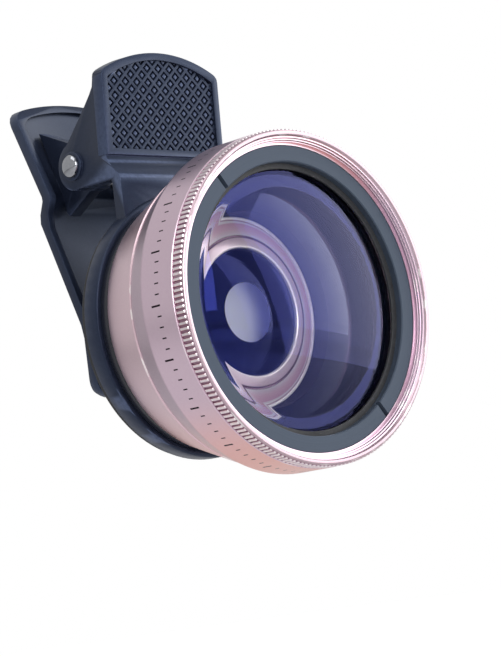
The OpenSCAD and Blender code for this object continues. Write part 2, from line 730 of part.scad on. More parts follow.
// The spring's wire as one tube swept along its legs and its coil
module torsion_spring() {
    front_end = [handle_y + handle_t - front_leg_rise * tan(handle_lean) + wire_r + 0.25 - pivot_y, front_leg_rise];
    rear_face = knee_y - 1.05 + (pivot_z + rear_leg_rise - knee_z - 3.2) * tan(rear_handle_lean)
        - rear_t / cos(rear_handle_lean);
    rear_end = [rear_face - wire_r - 0.35 - pivot_y, rear_leg_rise];
    a1 = leg_angle(front_end[0], front_end[1], 1);
    a2 = leg_angle(rear_end[0], rear_end[1], -1) + 360 * (coil_turns + 1);
    steps = 22 * coil_turns;
    pitch = 2 * wire_r + 0.12;
    length = pitch * (a2 - a1) / 360;
    route = concat(
        [[-length / 2, pivot_y + front_end[0], pivot_z + front_end[1]]],
        [for (i = [0:steps]) let (t = i / steps) coil_point(a1 + (a2 - a1) * t, length * (t - 0.5))],
        [[length / 2, pivot_y + rear_end[0], pivot_z + rear_end[1]]]);
    angles = concat([a1], [for (i = [0:steps]) a1 + (a2 - a1) * i / steps], [a2]);
    sides = 8;
    points = [for (k = [0:len(route) - 1]) for (s = [0:sides - 1])
        let (q = 360 * s / sides, out = wire_r * cos(q), across = wire_r * sin(q))
        route[k] + [across, out * cos(angles[k]), out * sin(angles[k])]];
    last = len(route) - 1;
    faces = concat(
        [[for (s = [0:sides - 1]) s]],
        [for (k = [0:last - 1]) for (s = [0:sides - 1])
            [k * sides + s, (k + 1) * sides + s, (k + 1) * sides + (s + 1) % sides, k * sides + (s + 1) % sides]],
        [[for (s = [sides - 1:-1:0]) last * sides + s]]);
    color(steel) polyhedron(points, faces);
}

front_jaw();
thread_insert();
front_pad();
rear_jaw();
rear_pad();
pivot_pin();
pin_washer();
torsion_spring();
macro_barrel();
macro_glass();
macro_retaining_ring();
wide_barrel();
front_retaining_ring();
front_gasket();
front_glass();
light_baffle();
rear_cell();
rear_glass();
light_stop();
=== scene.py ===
import bpy
import bmesh
import math
from mathutils import Matrix, Vector


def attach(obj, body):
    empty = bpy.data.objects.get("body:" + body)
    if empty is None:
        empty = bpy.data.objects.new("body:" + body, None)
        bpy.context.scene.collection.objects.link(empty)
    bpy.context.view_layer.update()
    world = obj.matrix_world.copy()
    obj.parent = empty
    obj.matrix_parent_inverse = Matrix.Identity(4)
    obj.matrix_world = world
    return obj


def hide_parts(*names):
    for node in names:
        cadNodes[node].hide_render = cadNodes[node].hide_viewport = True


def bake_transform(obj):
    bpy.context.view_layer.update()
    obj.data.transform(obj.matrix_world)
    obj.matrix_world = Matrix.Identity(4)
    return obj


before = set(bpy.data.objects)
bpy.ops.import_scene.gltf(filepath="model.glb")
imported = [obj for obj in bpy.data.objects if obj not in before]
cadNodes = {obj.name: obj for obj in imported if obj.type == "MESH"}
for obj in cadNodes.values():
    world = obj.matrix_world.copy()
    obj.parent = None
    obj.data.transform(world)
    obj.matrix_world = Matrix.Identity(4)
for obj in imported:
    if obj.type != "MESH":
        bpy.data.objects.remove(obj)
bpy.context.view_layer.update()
scene = bpy.context.scene
scene.view_settings.view_transform = "Standard"
mm = 0.001
print("frame loaded,", len(cadNodes), "nodes")


# the camera stands where the photograph was taken from

camera = {
    "place": (-0.26461, -0.29382, -0.04428),
    "right": (0.72838, -0.67320, -0.12753),
    "up": (0.01928, -0.16591, 0.98595),
    "ahead": (0.68490, 0.72061, 0.10786),
    "lens": 135.31,
}
camData = bpy.data.cameras.new("lensView")
camData.sensor_width = 36
camData.lens = camera["lens"]
camData.clip_start = 0.01
camData.clip_end = 20
camObject = bpy.data.objects.new("lensView", camData)
scene.collection.objects.link(camObject)
axes = Matrix([camera["right"], camera["up"], [-v for v in camera["ahead"]]]).transposed()
camObject.matrix_world = Matrix.Translation(camera["place"]) @ axes.to_4x4()
scene.camera = camObject
print("camera placed")


# shader node groups: each one is built once and used by several finishes

def startGroup(name, inputs, outputs):
    group = bpy.data.node_groups.new(name, "ShaderNodeTree")
    for label, value in inputs:
        socket = group.interface.new_socket(label, in_out="INPUT", socket_type="NodeSocketFloat")
        socket.default_value = value
    for label in outputs:
        group.interface.new_socket(label, in_out="OUTPUT", socket_type="NodeSocketFloat")
    return group, group.nodes.new("NodeGroupInput"), group.nodes.new("NodeGroupOutput")


def addMath(tree, operation, a, b=None, clamp=False):
    node = tree.nodes.new("ShaderNodeMath")
    node.operation = operation
    node.use_clamp = clamp
    for slot, value in ((0, a), (1, b)):
        if value is None:
            continue
        if isinstance(value, (int, float)):
            node.inputs[slot].default_value = value
        else:
            tree.links.new(value, node.inputs[slot])
    return node.outputs[0]


def addRange(tree, value, low, high, toLow=0.0, toHigh=1.0, smooth=False):
    node = tree.nodes.new("ShaderNodeMapRange")
    node.interpolation_type = "SMOOTHSTEP" if smooth else "LINEAR"
    for slot, number in ((0, value), (1, low), (2, high), (3, toLow), (4, toHigh)):
        if isinstance(number, (int, float)):
            node.inputs[slot].default_value = number
        else:
            tree.links.new(number, node.inputs[slot])
    return node.outputs[0]


def addNoise(tree, vector, scale, detail=3.0, rough=0.55):
    node = tree.nodes.new("ShaderNodeTexNoise")
    node.inputs["Detail"].default_value = detail
    node.inputs["Roughness"].default_value = rough
    tree.links.new(vector, node.inputs["Vector"])
    if isinstance(scale, (int, float)):
        node.inputs["Scale"].default_value = scale
    else:
        tree.links.new(scale, node.inputs["Scale"])
    return node.outputs["Fac"]


def ownPlace(tree):
    node = tree.nodes.new("ShaderNodeTexCoord")
    return node.outputs["Object"]


def axisRadius(tree, split):
    xx = addMath(tree, "MULTIPLY", split.outputs["X"], split.outputs["X"])
    zz = addMath(tree, "MULTIPLY", split.outputs["Z"], split.outputs["Z"])
    return addMath(tree, "SQRT", addMath(tree, "ADD", xx, zz))


def buildGrainGroup():
    group, inner, outer = startGroup("Moulded Grain", [("Scale", 4000.0), ("Depth", 1.0)], ["Height", "Mask"])
    place = ownPlace(group)
    fine = addNoise(group, place, inner.outputs["Scale"], 2.0, 0.6)
    coarse = addNoise(group, place, addMath(group, "MULTIPLY", inner.outputs["Scale"], 0.27), 2.0, 0.5)
    both = addMath(group, "ADD", addMath(group, "MULTIPLY", fine, 0.65), addMath(group, "MULTIPLY", coarse, 0.35))
    group.links.new(addMath(group, "MULTIPLY", both, inner.outputs["Depth"]), outer.inputs["Height"])
    group.links.new(addRange(group, both, 0.38, 0.62), outer.inputs["Mask"])
    return group


def buildTurnedGroup():
    group, inner, outer = startGroup("Turned Lines", [("Scale", 9000.0), ("Depth", 1.0)], ["Height", "Mask"])
    split = group.nodes.new("ShaderNodeSeparateXYZ")
    group.links.new(ownPlace(group), split.inputs[0])
    join = group.nodes.new("ShaderNodeCombineXYZ")
    group.links.new(axisRadius(group, split), join.inputs[0])
    group.links.new(split.outputs["Y"], join.inputs[1])
    lines = addNoise(group, join.outputs[0], inner.outputs["Scale"], 2.0, 0.7)
    group.links.new(addMath(group, "MULTIPLY", lines, inner.outputs["Depth"]), outer.inputs["Height"])
    group.links.new(addRange(group, lines, 0.35, 0.65), outer.inputs["Mask"])
    return group


def buildMarksGroup():
    group, inner, outer = startGroup("Handling Marks", [("Scale", 90.0), ("Amount", 1.0)], ["Mask", "Specks"])
    place = ownPlace(group)
    soft = addNoise(group, place, inner.outputs["Scale"], 4.0, 0.6)
    smear = addRange(group, soft, 0.42, 0.72, smooth=True)
    group.links.new(addMath(group, "MULTIPLY", smear, inner.outputs["Amount"]), outer.inputs["Mask"])
    dots = group.nodes.new("ShaderNodeTexVoronoi")
    dots.inputs["Scale"].default_value = 1500
    group.links.new(place, dots.inputs["Vector"])
    near = addRange(group, dots.outputs["Distance"], 0.05, 0.11, 1.0, 0.0)
    few = addRange(group, soft, 0.56, 0.6)
    group.links.new(addMath(group, "MULTIPLY", addMath(group, "MULTIPLY", near, few), inner.outputs["Amount"]),
                    outer.inputs["Specks"])
    return group


def buildEdgeHighlightGroup():
    # lightens sharp edges found by pointiness: a painted highlight, broken up by noise
    group, inner, outer = startGroup("Painted Edge Highlight", [("Start", 0.52), ("End", 0.6)], ["Mask"])
    shape = group.nodes.new("ShaderNodeNewGeometry")
    edge = addRange(group, shape.outputs["Pointiness"], inner.outputs["Start"], inner.outputs["End"], smooth=True)
    broken = addRange(group, addNoise(group, ownPlace(group), 1500.0, 3.0), 0.3, 0.6, 0.6, 1.0)
    group.links.new(addMath(group, "MULTIPLY", edge, broken), outer.inputs["Mask"])
    return group


def buildReflectionBelowGroup():
    # faces that point down: the mask for a painted reflection of the phone below
    group, inner, outer = startGroup("Painted Reflection Below", [("Top", -0.5), ("Bottom", -0.99)], ["Mask"])
    coords = group.nodes.new("ShaderNodeTexCoord")
    split = group.nodes.new("ShaderNodeSeparateXYZ")
    group.links.new(coords.outputs["Normal"], split.inputs[0])
    group.links.new(addRange(group, split.outputs["Z"], inner.outputs["Top"], inner.outputs["Bottom"], smooth=True),
                    outer.inputs["Mask"])
    return group


grainGroup = buildGrainGroup()
turnedGroup = buildTurnedGroup()
marksGroup = buildMarksGroup()
edgeHighlightGroup = buildEdgeHighlightGroup()
underGroup = buildReflectionBelowGroup()
print("shader groups built")


def useGroup(tree, group, **values):
    node = tree.nodes.new("ShaderNodeGroup")
    node.node_tree = group
    for label, value in values.items():
        node.inputs[label].default_value = value
    return node


def blendColour(tree, mask, first, second):
    node = tree.nodes.new("ShaderNodeMix")
    node.data_type = "RGBA"
    tree.links.new(mask, node.inputs["Factor"])
    for label, value in (("A", first), ("B", second)):
        socket = [s for s in node.inputs if s.name == label and s.type == "RGBA"][0]
        if isinstance(value, tuple):
            socket.default_value = (*value, 1)
        else:
            tree.links.new(value, socket)
    return [s for s in node.outputs if s.type == "RGBA"][0]


def startMaterial(name):
    material = bpy.data.materials.new(name)
    material.use_nodes = True
    tree = material.node_tree
    return material, tree, tree.nodes["Principled BSDF"]


def makeFinish(name, look):
    material, tree, shader = startMaterial(name)
    marks = useGroup(tree, marksGroup, Scale=look.get("marksScale", 90.0), Amount=look.get("marks", 0.6))
    if look.get("turned"):
        surface = useGroup(tree, turnedGroup, Scale=look["turned"], Depth=1.0)
    else:
        surface = useGroup(tree, grainGroup, Scale=look["grain"], Depth=1.0)
    colour = blendColour(tree, surface.outputs["Mask"], look["colour"], look["second"])
    # painted reflection: downward faces take the pink of the phone below
    if look.get("under"):
        under = useGroup(tree, underGroup)
        colour = blendColour(tree, under.outputs["Mask"], colour, look["under"])
    # painted highlight: sharp edges painted lighter
    if look.get("edge"):
        edges = useGroup(tree, edgeHighlightGroup)
        colour = blendColour(tree, edges.outputs["Mask"], colour, look["edge"])
    if look.get("dust"):
        colour = blendColour(tree, marks.outputs["Specks"], colour, look["dust"])
    tree.links.new(colour, shader.inputs["Base Color"])
    low, high = look["rough"]
    tree.links.new(addRange(tree, marks.outputs["Mask"], 0.0, 1.0, low, high), shader.inputs["Roughness"])
    bump = tree.nodes.new("ShaderNodeBump")
    bump.inputs["Strength"].default_value = look.get("bump", 0.3)
    bump.inputs["Distance"].default_value = look.get("relief", 0.00002)
    tree.links.new(surface.outputs["Height"], bump.inputs["Height"])
    tree.links.new(bump.outputs[0], shader.inputs["Normal"])
    shader.inputs["Metallic"].default_value = look.get("metal", 0.0)
    shader.inputs["Specular IOR Level"].default_value = look.get("specular", 0.5)
    shader.inputs["Specular Tint"].default_value = (*look.get("specTint", (1, 1, 1)), 1)
    return material


finishes = {
    # jawPlastic's edge colour is a painted highlight on its sharp edges
    "jawPlastic": {"colour": (0.010, 0.014, 0.028), "second": (0.015, 0.020, 0.039), "edge": (0.085, 0.11, 0.19),
                   "dust": (0.10, 0.11, 0.14), "grain": 6500.0, "rough": (0.33, 0.38), "bump": 0.3,
                   "relief": 0.00002, "marks": 0.25, "specular": 0.42, "specTint": (0.50, 0.64, 1.0)},
    "insertBlack": {"colour": (0.012, 0.014, 0.022), "second": (0.018, 0.020, 0.032), "turned": 5000.0,
                    "rough": (0.24, 0.30), "bump": 0.08, "marks": 0.3, "specular": 0.5},
    "padRubber": {"colour": (0.020, 0.021, 0.024), "second": (0.034, 0.035, 0.040), "grain": 2600.0,
                  "dust": (0.2, 0.2, 0.2), "rough": (0.62, 0.8), "bump": 0.6, "relief": 0.00005, "marks": 0.9},
    # macroRose's red-pink on downward faces is a painted reflection of the phone below; its near-white edge colour is a
    # painted highlight
    "macroRose": {"colour": (0.76, 0.56, 0.62), "second": (0.80, 0.60, 0.66), "under": (0.88, 0.50, 0.46),
                  "edge": (0.98, 0.90, 0.90), "grain": 9000.0, "rough": (0.30, 0.38), "bump": 0.16,
                  "relief": 0.00001, "metal": 1.0, "marks": 0.5},
    "slateRing": {"colour": (0.050, 0.066, 0.094), "second": (0.055, 0.072, 0.102),
                  "turned": 9000.0, "rough": (0.42, 0.44), "bump": 0.04, "relief": 0.00001, "metal": 0.0, "marks": 0.2,
                  "specular": 0.3, "specTint": (0.7, 0.82, 1.0)},
    "innerBlack": {"colour": (0.004, 0.005, 0.008), "second": (0.006, 0.007, 0.011), "turned": 4000.0,
                   "rough": (0.62, 0.7), "bump": 0.03, "marks": 0.2, "specular": 0.12},
    "pinChrome": {"colour": (0.34, 0.35, 0.38), "second": (0.40, 0.41, 0.44), "grain": 3000.0,
                  "rough": (0.06, 0.16), "bump": 0.04, "relief": 0.00001, "metal": 1.0, "marks": 0.7},
    "springWire": {"colour": (0.42, 0.42, 0.44), "second": (0.55, 0.55, 0.57), "grain": 4000.0,
                   "rough": (0.22, 0.38), "bump": 0.15, "metal": 1.0, "marks": 0.8},
}
finish = {name: makeFinish(name, look) for name, look in finishes.items()}


def makeWideRose():
    # the wide barrel's colour goes by its depth: mauve taper painted darker as painted shade, lavender band, painted
    # shade on the knurl floor, pale lip
    look = {"taper": (0.50, 0.37, 0.45), "band": (0.72, 0.55, 0.65), "lip": (0.50, 0.37, 0.42),
            "under": (0.90, 0.48, 0.42), "knurlFloorShade": (0.36, 0.22, 0.29), "taperEnd": 0.0205, "lipStart": 0.02955,
            "gapBack": 0.0276, "gapR": 0.0260, "lowR": 0.0252, "printR": 0.0259, "ink": (0.02, 0.012, 0.018),
            "scale": ((100, 0.0236, 0.0245, 0.13), (20, 0.0226, 0.0245, 0.036)), "grain": 9000.0}
    material, tree, shader = startMaterial("wideRose")
    split = tree.nodes.new("ShaderNodeSeparateXYZ")
    tree.links.new(ownPlace(tree), split.inputs[0])
    depth = addMath(tree, "MULTIPLY", split.outputs["Y"], -1.0)
    marks = useGroup(tree, marksGroup, Scale=80.0, Amount=0.5)
    surface = useGroup(tree, grainGroup, Scale=look["grain"], Depth=1.0)
    under = useGroup(tree, underGroup)
    edges = useGroup(tree, edgeHighlightGroup)
    # painted shade: the taper darker than the band
    colour = blendColour(tree, addRange(tree, depth, look["taperEnd"] - 0.0002, look["taperEnd"] + 0.0003),
                         look["taper"], look["band"])
    # painted reflection of the phone below on faces that point down
    colour = blendColour(tree, under.outputs["Mask"], colour, look["under"])
    colour = blendColour(tree, addRange(tree, depth, look["lipStart"] - 0.0001, look["lipStart"] + 0.0001),
                         colour, look["lip"])
    radius = axisRadius(tree, split)
    # painted shade: darkens the floor between the knurl teeth, behind the lip
    low = addMath(tree, "MULTIPLY", addRange(tree, radius, look["gapR"] - 0.00006, look["gapR"] + 0.00006, 1.0, 0.0),
                  addRange(tree, radius, look["lowR"], look["lowR"] + 0.0001))
    low = addMath(tree, "MULTIPLY", low, addRange(tree, depth, look["gapBack"] - 0.00005, look["gapBack"] + 0.00005))
    low = addMath(tree, "MULTIPLY", low, addRange(tree, depth, look["lipStart"], look["lipStart"] + 0.0001, 1.0, 0.0))
    colour = blendColour(tree, addMath(tree, "MULTIPLY", surface.outputs["Mask"], 0.12), colour, (0.95, 0.86, 0.88))
    colour = blendColour(tree, low, colour, look["knurlFloorShade"])
    # painted highlight: sharp edges painted near-white
    colour = blendColour(tree, addMath(tree, "MULTIPLY", edges.outputs["Mask"], 0.8), colour, (0.98, 0.92, 0.92))
    turn = addMath(tree, "DIVIDE", addMath(tree, "ARCTAN2", split.outputs["Z"], split.outputs["X"]), 2 * math.pi)
    ticks = None
    for count, start, end, line in look["scale"]:
        place = addMath(tree, "FRACT", addMath(tree, "ADD", addMath(tree, "MULTIPLY", turn, float(count)), 10.0))
        tick = addMath(tree, "MULTIPLY", addMath(tree, "LESS_THAN", place, line),
                       addMath(tree, "MULTIPLY", addMath(tree, "GREATER_THAN", depth, start),
                               addMath(tree, "LESS_THAN", depth, end)))
        ticks = tick if ticks is None else addMath(tree, "MAXIMUM", ticks, tick)
    outside = addMath(tree, "MULTIPLY", ticks, addMath(tree, "GREATER_THAN", radius, look["printR"]))
    colour = blendColour(tree, outside, colour, look["ink"])      # a plain scale printed on the band
    tree.links.new(colour, shader.inputs["Base Color"])
    tree.links.new(addRange(tree, marks.outputs["Mask"], 0.0, 1.0, 0.28, 0.37), shader.inputs["Roughness"])
    bump = tree.nodes.new("ShaderNodeBump")
    bump.inputs["Strength"].default_value = 0.16
    bump.inputs["Distance"].default_value = 0.00001
    tree.links.new(surface.outputs["Height"], bump.inputs["Height"])
    tree.links.new(bump.outputs[0], shader.inputs["Normal"])
    shader.inputs["Metallic"].default_value = 1.0
    return material


def makeGlass(name, look):
    # coated glass: the tint of its reflections is the coating's
    material, tree, shader = startMaterial(name)
    marks = useGroup(tree, marksGroup, Scale=look.get("marksScale", 60.0), Amount=look.get("marks", 0.5))
    colour = blendColour(tree, marks.outputs["Mask"], look["colour"], look["second"])
    tree.links.new(colour, shader.inputs["Base Color"])
    tree.links.new(addRange(tree, marks.outputs["Mask"], 0.0, 1.0, *look["rough"]), shader.inputs["Roughness"])
    shader.inputs["Transmission Weight"].default_value = 1.0
    shader.inputs["Metallic"].default_value = 0.0
    shader.inputs["IOR"].default_value = look["ior"]
    shader.inputs["Specular IOR Level"].default_value = look["specular"]
    shader.inputs["Specular Tint"].default_value = (*look["coating"], 1)
    return material


def makeCellRose():
    # rings of colour from the bore outwards, each stop is (radius in mm, colour); the near-white rings are painted
    # highlights on edges and steps, the dark rings painted shade in the groove and beside the steps
    look = {"first": 10.6, "last": 16.6, "stops": (
        (10.6, (1.0, 0.95, 0.97)), (11.1, (0.94, 0.76, 0.84)), (12.3, (0.90, 0.66, 0.76)), (12.5, (0.16, 0.06, 0.10)),
        (12.8, (0.16, 0.06, 0.10)), (12.95, (1.0, 0.90, 0.94)), (13.8, (0.92, 0.60, 0.71)), (14.9, (0.76, 0.42, 0.56)),
        (15.1, (1.0, 0.94, 0.97)), (15.35, (1.0, 0.94, 0.97)), (15.5, (0.40, 0.20, 0.30)), (15.75, (1.0, 0.94, 0.97)),
        (16.1, (1.0, 0.94, 0.97)), (16.3, (0.45, 0.25, 0.33)))}
    material, tree, shader = startMaterial("cellRose")
    split = tree.nodes.new("ShaderNodeSeparateXYZ")
    tree.links.new(ownPlace(tree), split.inputs[0])
    radius = axisRadius(tree, split)
    ramp = tree.nodes.new("ShaderNodeValToRGB")
    span = look["last"] - look["first"]
    tree.links.new(addRange(tree, radius, look["first"] * mm, look["last"] * mm), ramp.inputs[0])
    bar = ramp.color_ramp.elements
    while len(bar) < len(look["stops"]):
        bar.new(0.5)
    for element, (place, colour) in zip(bar, look["stops"]):
        element.position = (place - look["first"]) / span
        element.color = (*colour, 1)
    turned = useGroup(tree, turnedGroup, Scale=7000.0, Depth=1.0)
    tree.links.new(blendColour(tree, addMath(tree, "MULTIPLY", turned.outputs["Mask"], 0.15), ramp.outputs["Color"],
                               (1.0, 0.88, 0.92)), shader.inputs["Base Color"])
    shader.inputs["Roughness"].default_value = 0.25
    shader.inputs["Metallic"].default_value = 0.3
    return material


finish["wideRose"] = makeWideRose()
finish["cellRose"] = makeCellRose()
finish["frontGlass"] = makeGlass("frontGlass", {"colour": (0.93, 0.94, 1.0), "second": (0.90, 0.91, 0.98),
                                                "rough": (0.0, 0.006), "ior": 1.5, "specular": 1.0,
                                                "coating": (0.12, 0.16, 1.0), "marks": 0.4})
finish["rearGlass"] = makeGlass("rearGlass", {"colour": (0.80, 0.84, 1.0), "second": (0.78, 0.80, 0.97),
                                              "rough": (0.0, 0.005), "ior": 1.52, "specular": 1.0,
                                              "coating": (0.16, 0.20, 1.0), "marks": 0.3})
finish["macroGlass"] = makeGlass("macroGlass", {"colour": (1.0, 0.97, 0.90), "second": (0.98, 0.95, 0.88),
                                                "rough": (0.30, 0.34), "ior": 1.52, "specular": 1.0,
                                                "coating": (0.6, 0.7, 1.0), "marks": 0.3})
print("finishes mixed,", len(finish))


# shared ways of making a piece

def addPiece(name, mesh, finishName, body, stands=()):
    piece = bpy.data.objects.new(name, mesh)
    scene.collection.objects.link(piece)
    mesh.materials.clear()
    mesh.materials.append(finish[finishName])
    if body:
        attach(piece, body)
    if stands:
        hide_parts(*stands)
    return piece


def smoothMesh(mesh, sharpAngle=32):
    work = bmesh.new()
    work.from_mesh(mesh)
    bmesh.ops.recalc_face_normals(work, faces=work.faces)
    for face in work.faces:
        face.smooth = True
    work.to_mesh(mesh)
    work.free()
    mesh.set_sharp_from_angle(angle=math.radians(sharpAngle))


def weighNormals(piece):
    weigh = piece.modifiers.new("evenShading", "WEIGHTED_NORMAL")
    weigh.keep_sharp = True
    weigh.weight = 80


def roundCorners(outline, arcSteps=4):
    # each outline point is (radius, depth) or (radius, depth, rounding) in mm
    points = []
    count = len(outline)
    for i, corner in enumerate(outline):
        here = Vector(corner[:2])
        size = corner[2] if len(corner) > 2 else 0
        if size <= 0:
            points.append(tuple(here))
            continue
        before = (Vector(outline[i - 1][:2]) - here)
        after = (Vector(outline[(i + 1) % count][:2]) - here)
        size = min(size, before.length * 0.48, after.length * 0.48)
        start, end = here + before.normalized() * size, here + after.normalized() * size
        for k in range(arcSteps + 1):
            t = k / arcSteps
            points.append(tuple(start * (1 - t) ** 2 + here * 2 * t * (1 - t) + end * t ** 2))
    return points


def turnedMesh(name, outline, steps=240, arcSteps=4):
    points = roundCorners(outline, arcSteps)
    verts, rings = [], []
    for radius, depth in points:
        if radius < 1e-6:
            verts.append((0, -depth * mm, 0))
            rings.append([len(verts) - 1] * steps)
            continue
        rings.append(list(range(len(verts), len(verts) + steps)))
        for s in range(steps):
            a = 2 * math.pi * s / steps
            verts.append((radius * math.cos(a) * mm, -depth * mm, radius * math.sin(a) * mm))
    faces = []
    for i, ring in enumerate(rings):
        other = rings[(i + 1) % len(rings)]
        for s in range(steps):
            n = (s + 1) % steps
            corners = []
            for v in (ring[s], ring[n], other[n], other[s]):
                if v not in corners:
                    corners.append(v)
            if len(corners) > 2:
                faces.append(corners)
    mesh = bpy.data.meshes.new(name)
    mesh.from_pydata(verts, [], faces)
    smoothMesh(mesh)
    return mesh


def turnedPiece(name, outline, finishName, body, stands=(), steps=240):
    piece = addPiece(name, turnedMesh(name, outline, steps), finishName, body, stands)
    weighNormals(piece)
    return piece


def threadMesh(name, look, steps=160):
    # a ridge that climbs in a helix and dies out at both ends
    turns = (look["end"] - look["start"]) / look["pitch"]
    total = int(steps * turns)
    verts, faces = [], []
    for i in range(total + 1):
        t = i / total
        fade = min(1, t * turns * 4, (1 - t) * turns * 4)
        a = -2 * math.pi * turns * t
        depth = look["start"] + (look["end"] - look["start"]) * t
        crest = look["base"] + (look["crest"] - look["base"]) * max(fade, 0.02)
        half = look["pitch"] * 0.46
        for radius, shift in ((look["base"], -half), (crest, -half * 0.2), (crest, half * 0.2), (look["base"], half),
                              (look["sunk"], 0)):
            verts.append((radius * math.cos(a) * mm, -(depth + shift) * mm, radius * math.sin(a) * mm))
        if i:
            k = 5 * (i - 1)
            for s in range(5):
                n = (s + 1) % 5
                faces.append((k + s, k + n, k + 5 + n, k + 5 + s))
    faces.append((0, 1, 2, 3, 4))
    faces.append(tuple(5 * total + s for s in range(5)))
    mesh = bpy.data.meshes.new(name)
    mesh.from_pydata(verts, [], faces)
    smoothMesh(mesh, 40)
    return mesh


def softEdgedCopy(nodeName, pieceName, width, finishName, body, segments=2):
    # the node's own form with small rounded edges that catch the light
    mesh = cadNodes[nodeName].data.copy()
    mesh.name = pieceName
    work = bmesh.new()
    work.from_mesh(mesh)
    bmesh.ops.remove_doubles(work, verts=work.verts, dist=2e-7)
    bmesh.ops.dissolve_limit(work, angle_limit=math.radians(0.4), verts=work.verts, edges=work.edges)
    for face in work.faces:
        face.smooth = True
    work.to_mesh(mesh)
    work.free()
    piece = addPiece(pieceName, mesh, finishName, body, [nodeName])
    soften = piece.modifiers.new("softEdges", "BEVEL")
    soften.width = width * mm
    soften.segments = segments
    soften.limit_method = "ANGLE"
    soften.angle_limit = math.radians(38)
    soften.use_clamp_overlap = False
    soften.harden_normals = True
    return piece


# the clip

clip = {"jawEdge": 0.06, "padEdge": 0.12, "pinY": 7.7, "pinZ": 28.0}
softEdgedCopy("front_jaw", "clipFrontJaw", clip["jawEdge"], "jawPlastic", "clip_front")
softEdgedCopy("rear_jaw", "clipRearJaw", clip["jawEdge"], "jawPlastic", "clip_rear")
softEdgedCopy("rear_pad", "clipRearPad", clip["padEdge"], "padRubber", "clip_rear")

turnedPiece("clipFrontPad", [
    (9.5, 0.0, 0.15), (20.85, 0.0, 0.1), (21.1, 0.25, 0.1), (21.1, 1.2), (9.5, 1.2)],
    "padRubber", "clip_front", ["front_pad"])

insert = {"wall": 18.4, "outer": 20.55, "back": 1.8, "front": 5.95}
turnedPiece("clipThreadInsert", [
    (insert["wall"], insert["back"]), (insert["outer"], insert["back"]), (insert["outer"], insert["front"] - 0.25, 0.1),
    (insert["outer"] - 0.25, insert["front"], 0.1), (insert["wall"], insert["front"], 0.15)],
    "insertBlack", "clip_front", ["thread_insert"])
addPiece("clipInsertThread", threadMesh("clipInsertThread", {
    "start": 2.3, "end": 5.4, "pitch": 0.75, "base": 18.42, "crest": 18.06, "sunk": 18.6}),
    "insertBlack", "clip_front")


def pinMesh(look):
    # a riveted pin along X with two domed heads and a turned groove under each
    outline = []
    half = look["half"]
    for side in (-1, 1):
        dome = []
        for i in range(13):
            a = math.pi / 2 * i / 12
            dome.append((look["headR"] * math.cos(a), side * (half + 0.25 + (look["headT"] - 0.25) * math.sin(a))))
        foot = [(look["headR"] - 0.08, side * half), (look["headR"], side * (half + 0.08))]
        outline += (dome[::-1] + foot[::-1] + [(look["pinR"], side * half)]) if side < 0 else (
            [(look["pinR"], side * half)] + foot + dome)
    verts, faces, rings, steps = [], [], [], 72
    for radius, x in outline:
        if radius < 1e-6:
            verts.append((x * mm, clip["pinY"] * mm, clip["pinZ"] * mm))
            rings.append([len(verts) - 1] * steps)
            continue
        rings.append(list(range(len(verts), len(verts) + steps)))
        for s in range(steps):
            a = 2 * math.pi * s / steps
            verts.append((x * mm, (clip["pinY"] + radius * math.cos(a)) * mm,
                          (clip["pinZ"] + radius * math.sin(a)) * mm))
    for first, second in zip(rings, rings[1:]):
        for s in range(steps):
            n = (s + 1) % steps
            corners = []
            for v in (first[s], first[n], second[n], second[s]):
                if v not in corners:
                    corners.append(v)
            if len(corners) > 2:
                faces.append(corners)
    mesh = bpy.data.meshes.new("clipPin")
    mesh.from_pydata(verts, [], faces)
    smoothMesh(mesh)
    return mesh


pin = addPiece("clipPin", pinMesh({"half": 12.9, "headR": 1.85, "headT": 1.1, "pinR": 1.5}), "pinChrome",
               "clip_front", ["pivot_pin"])


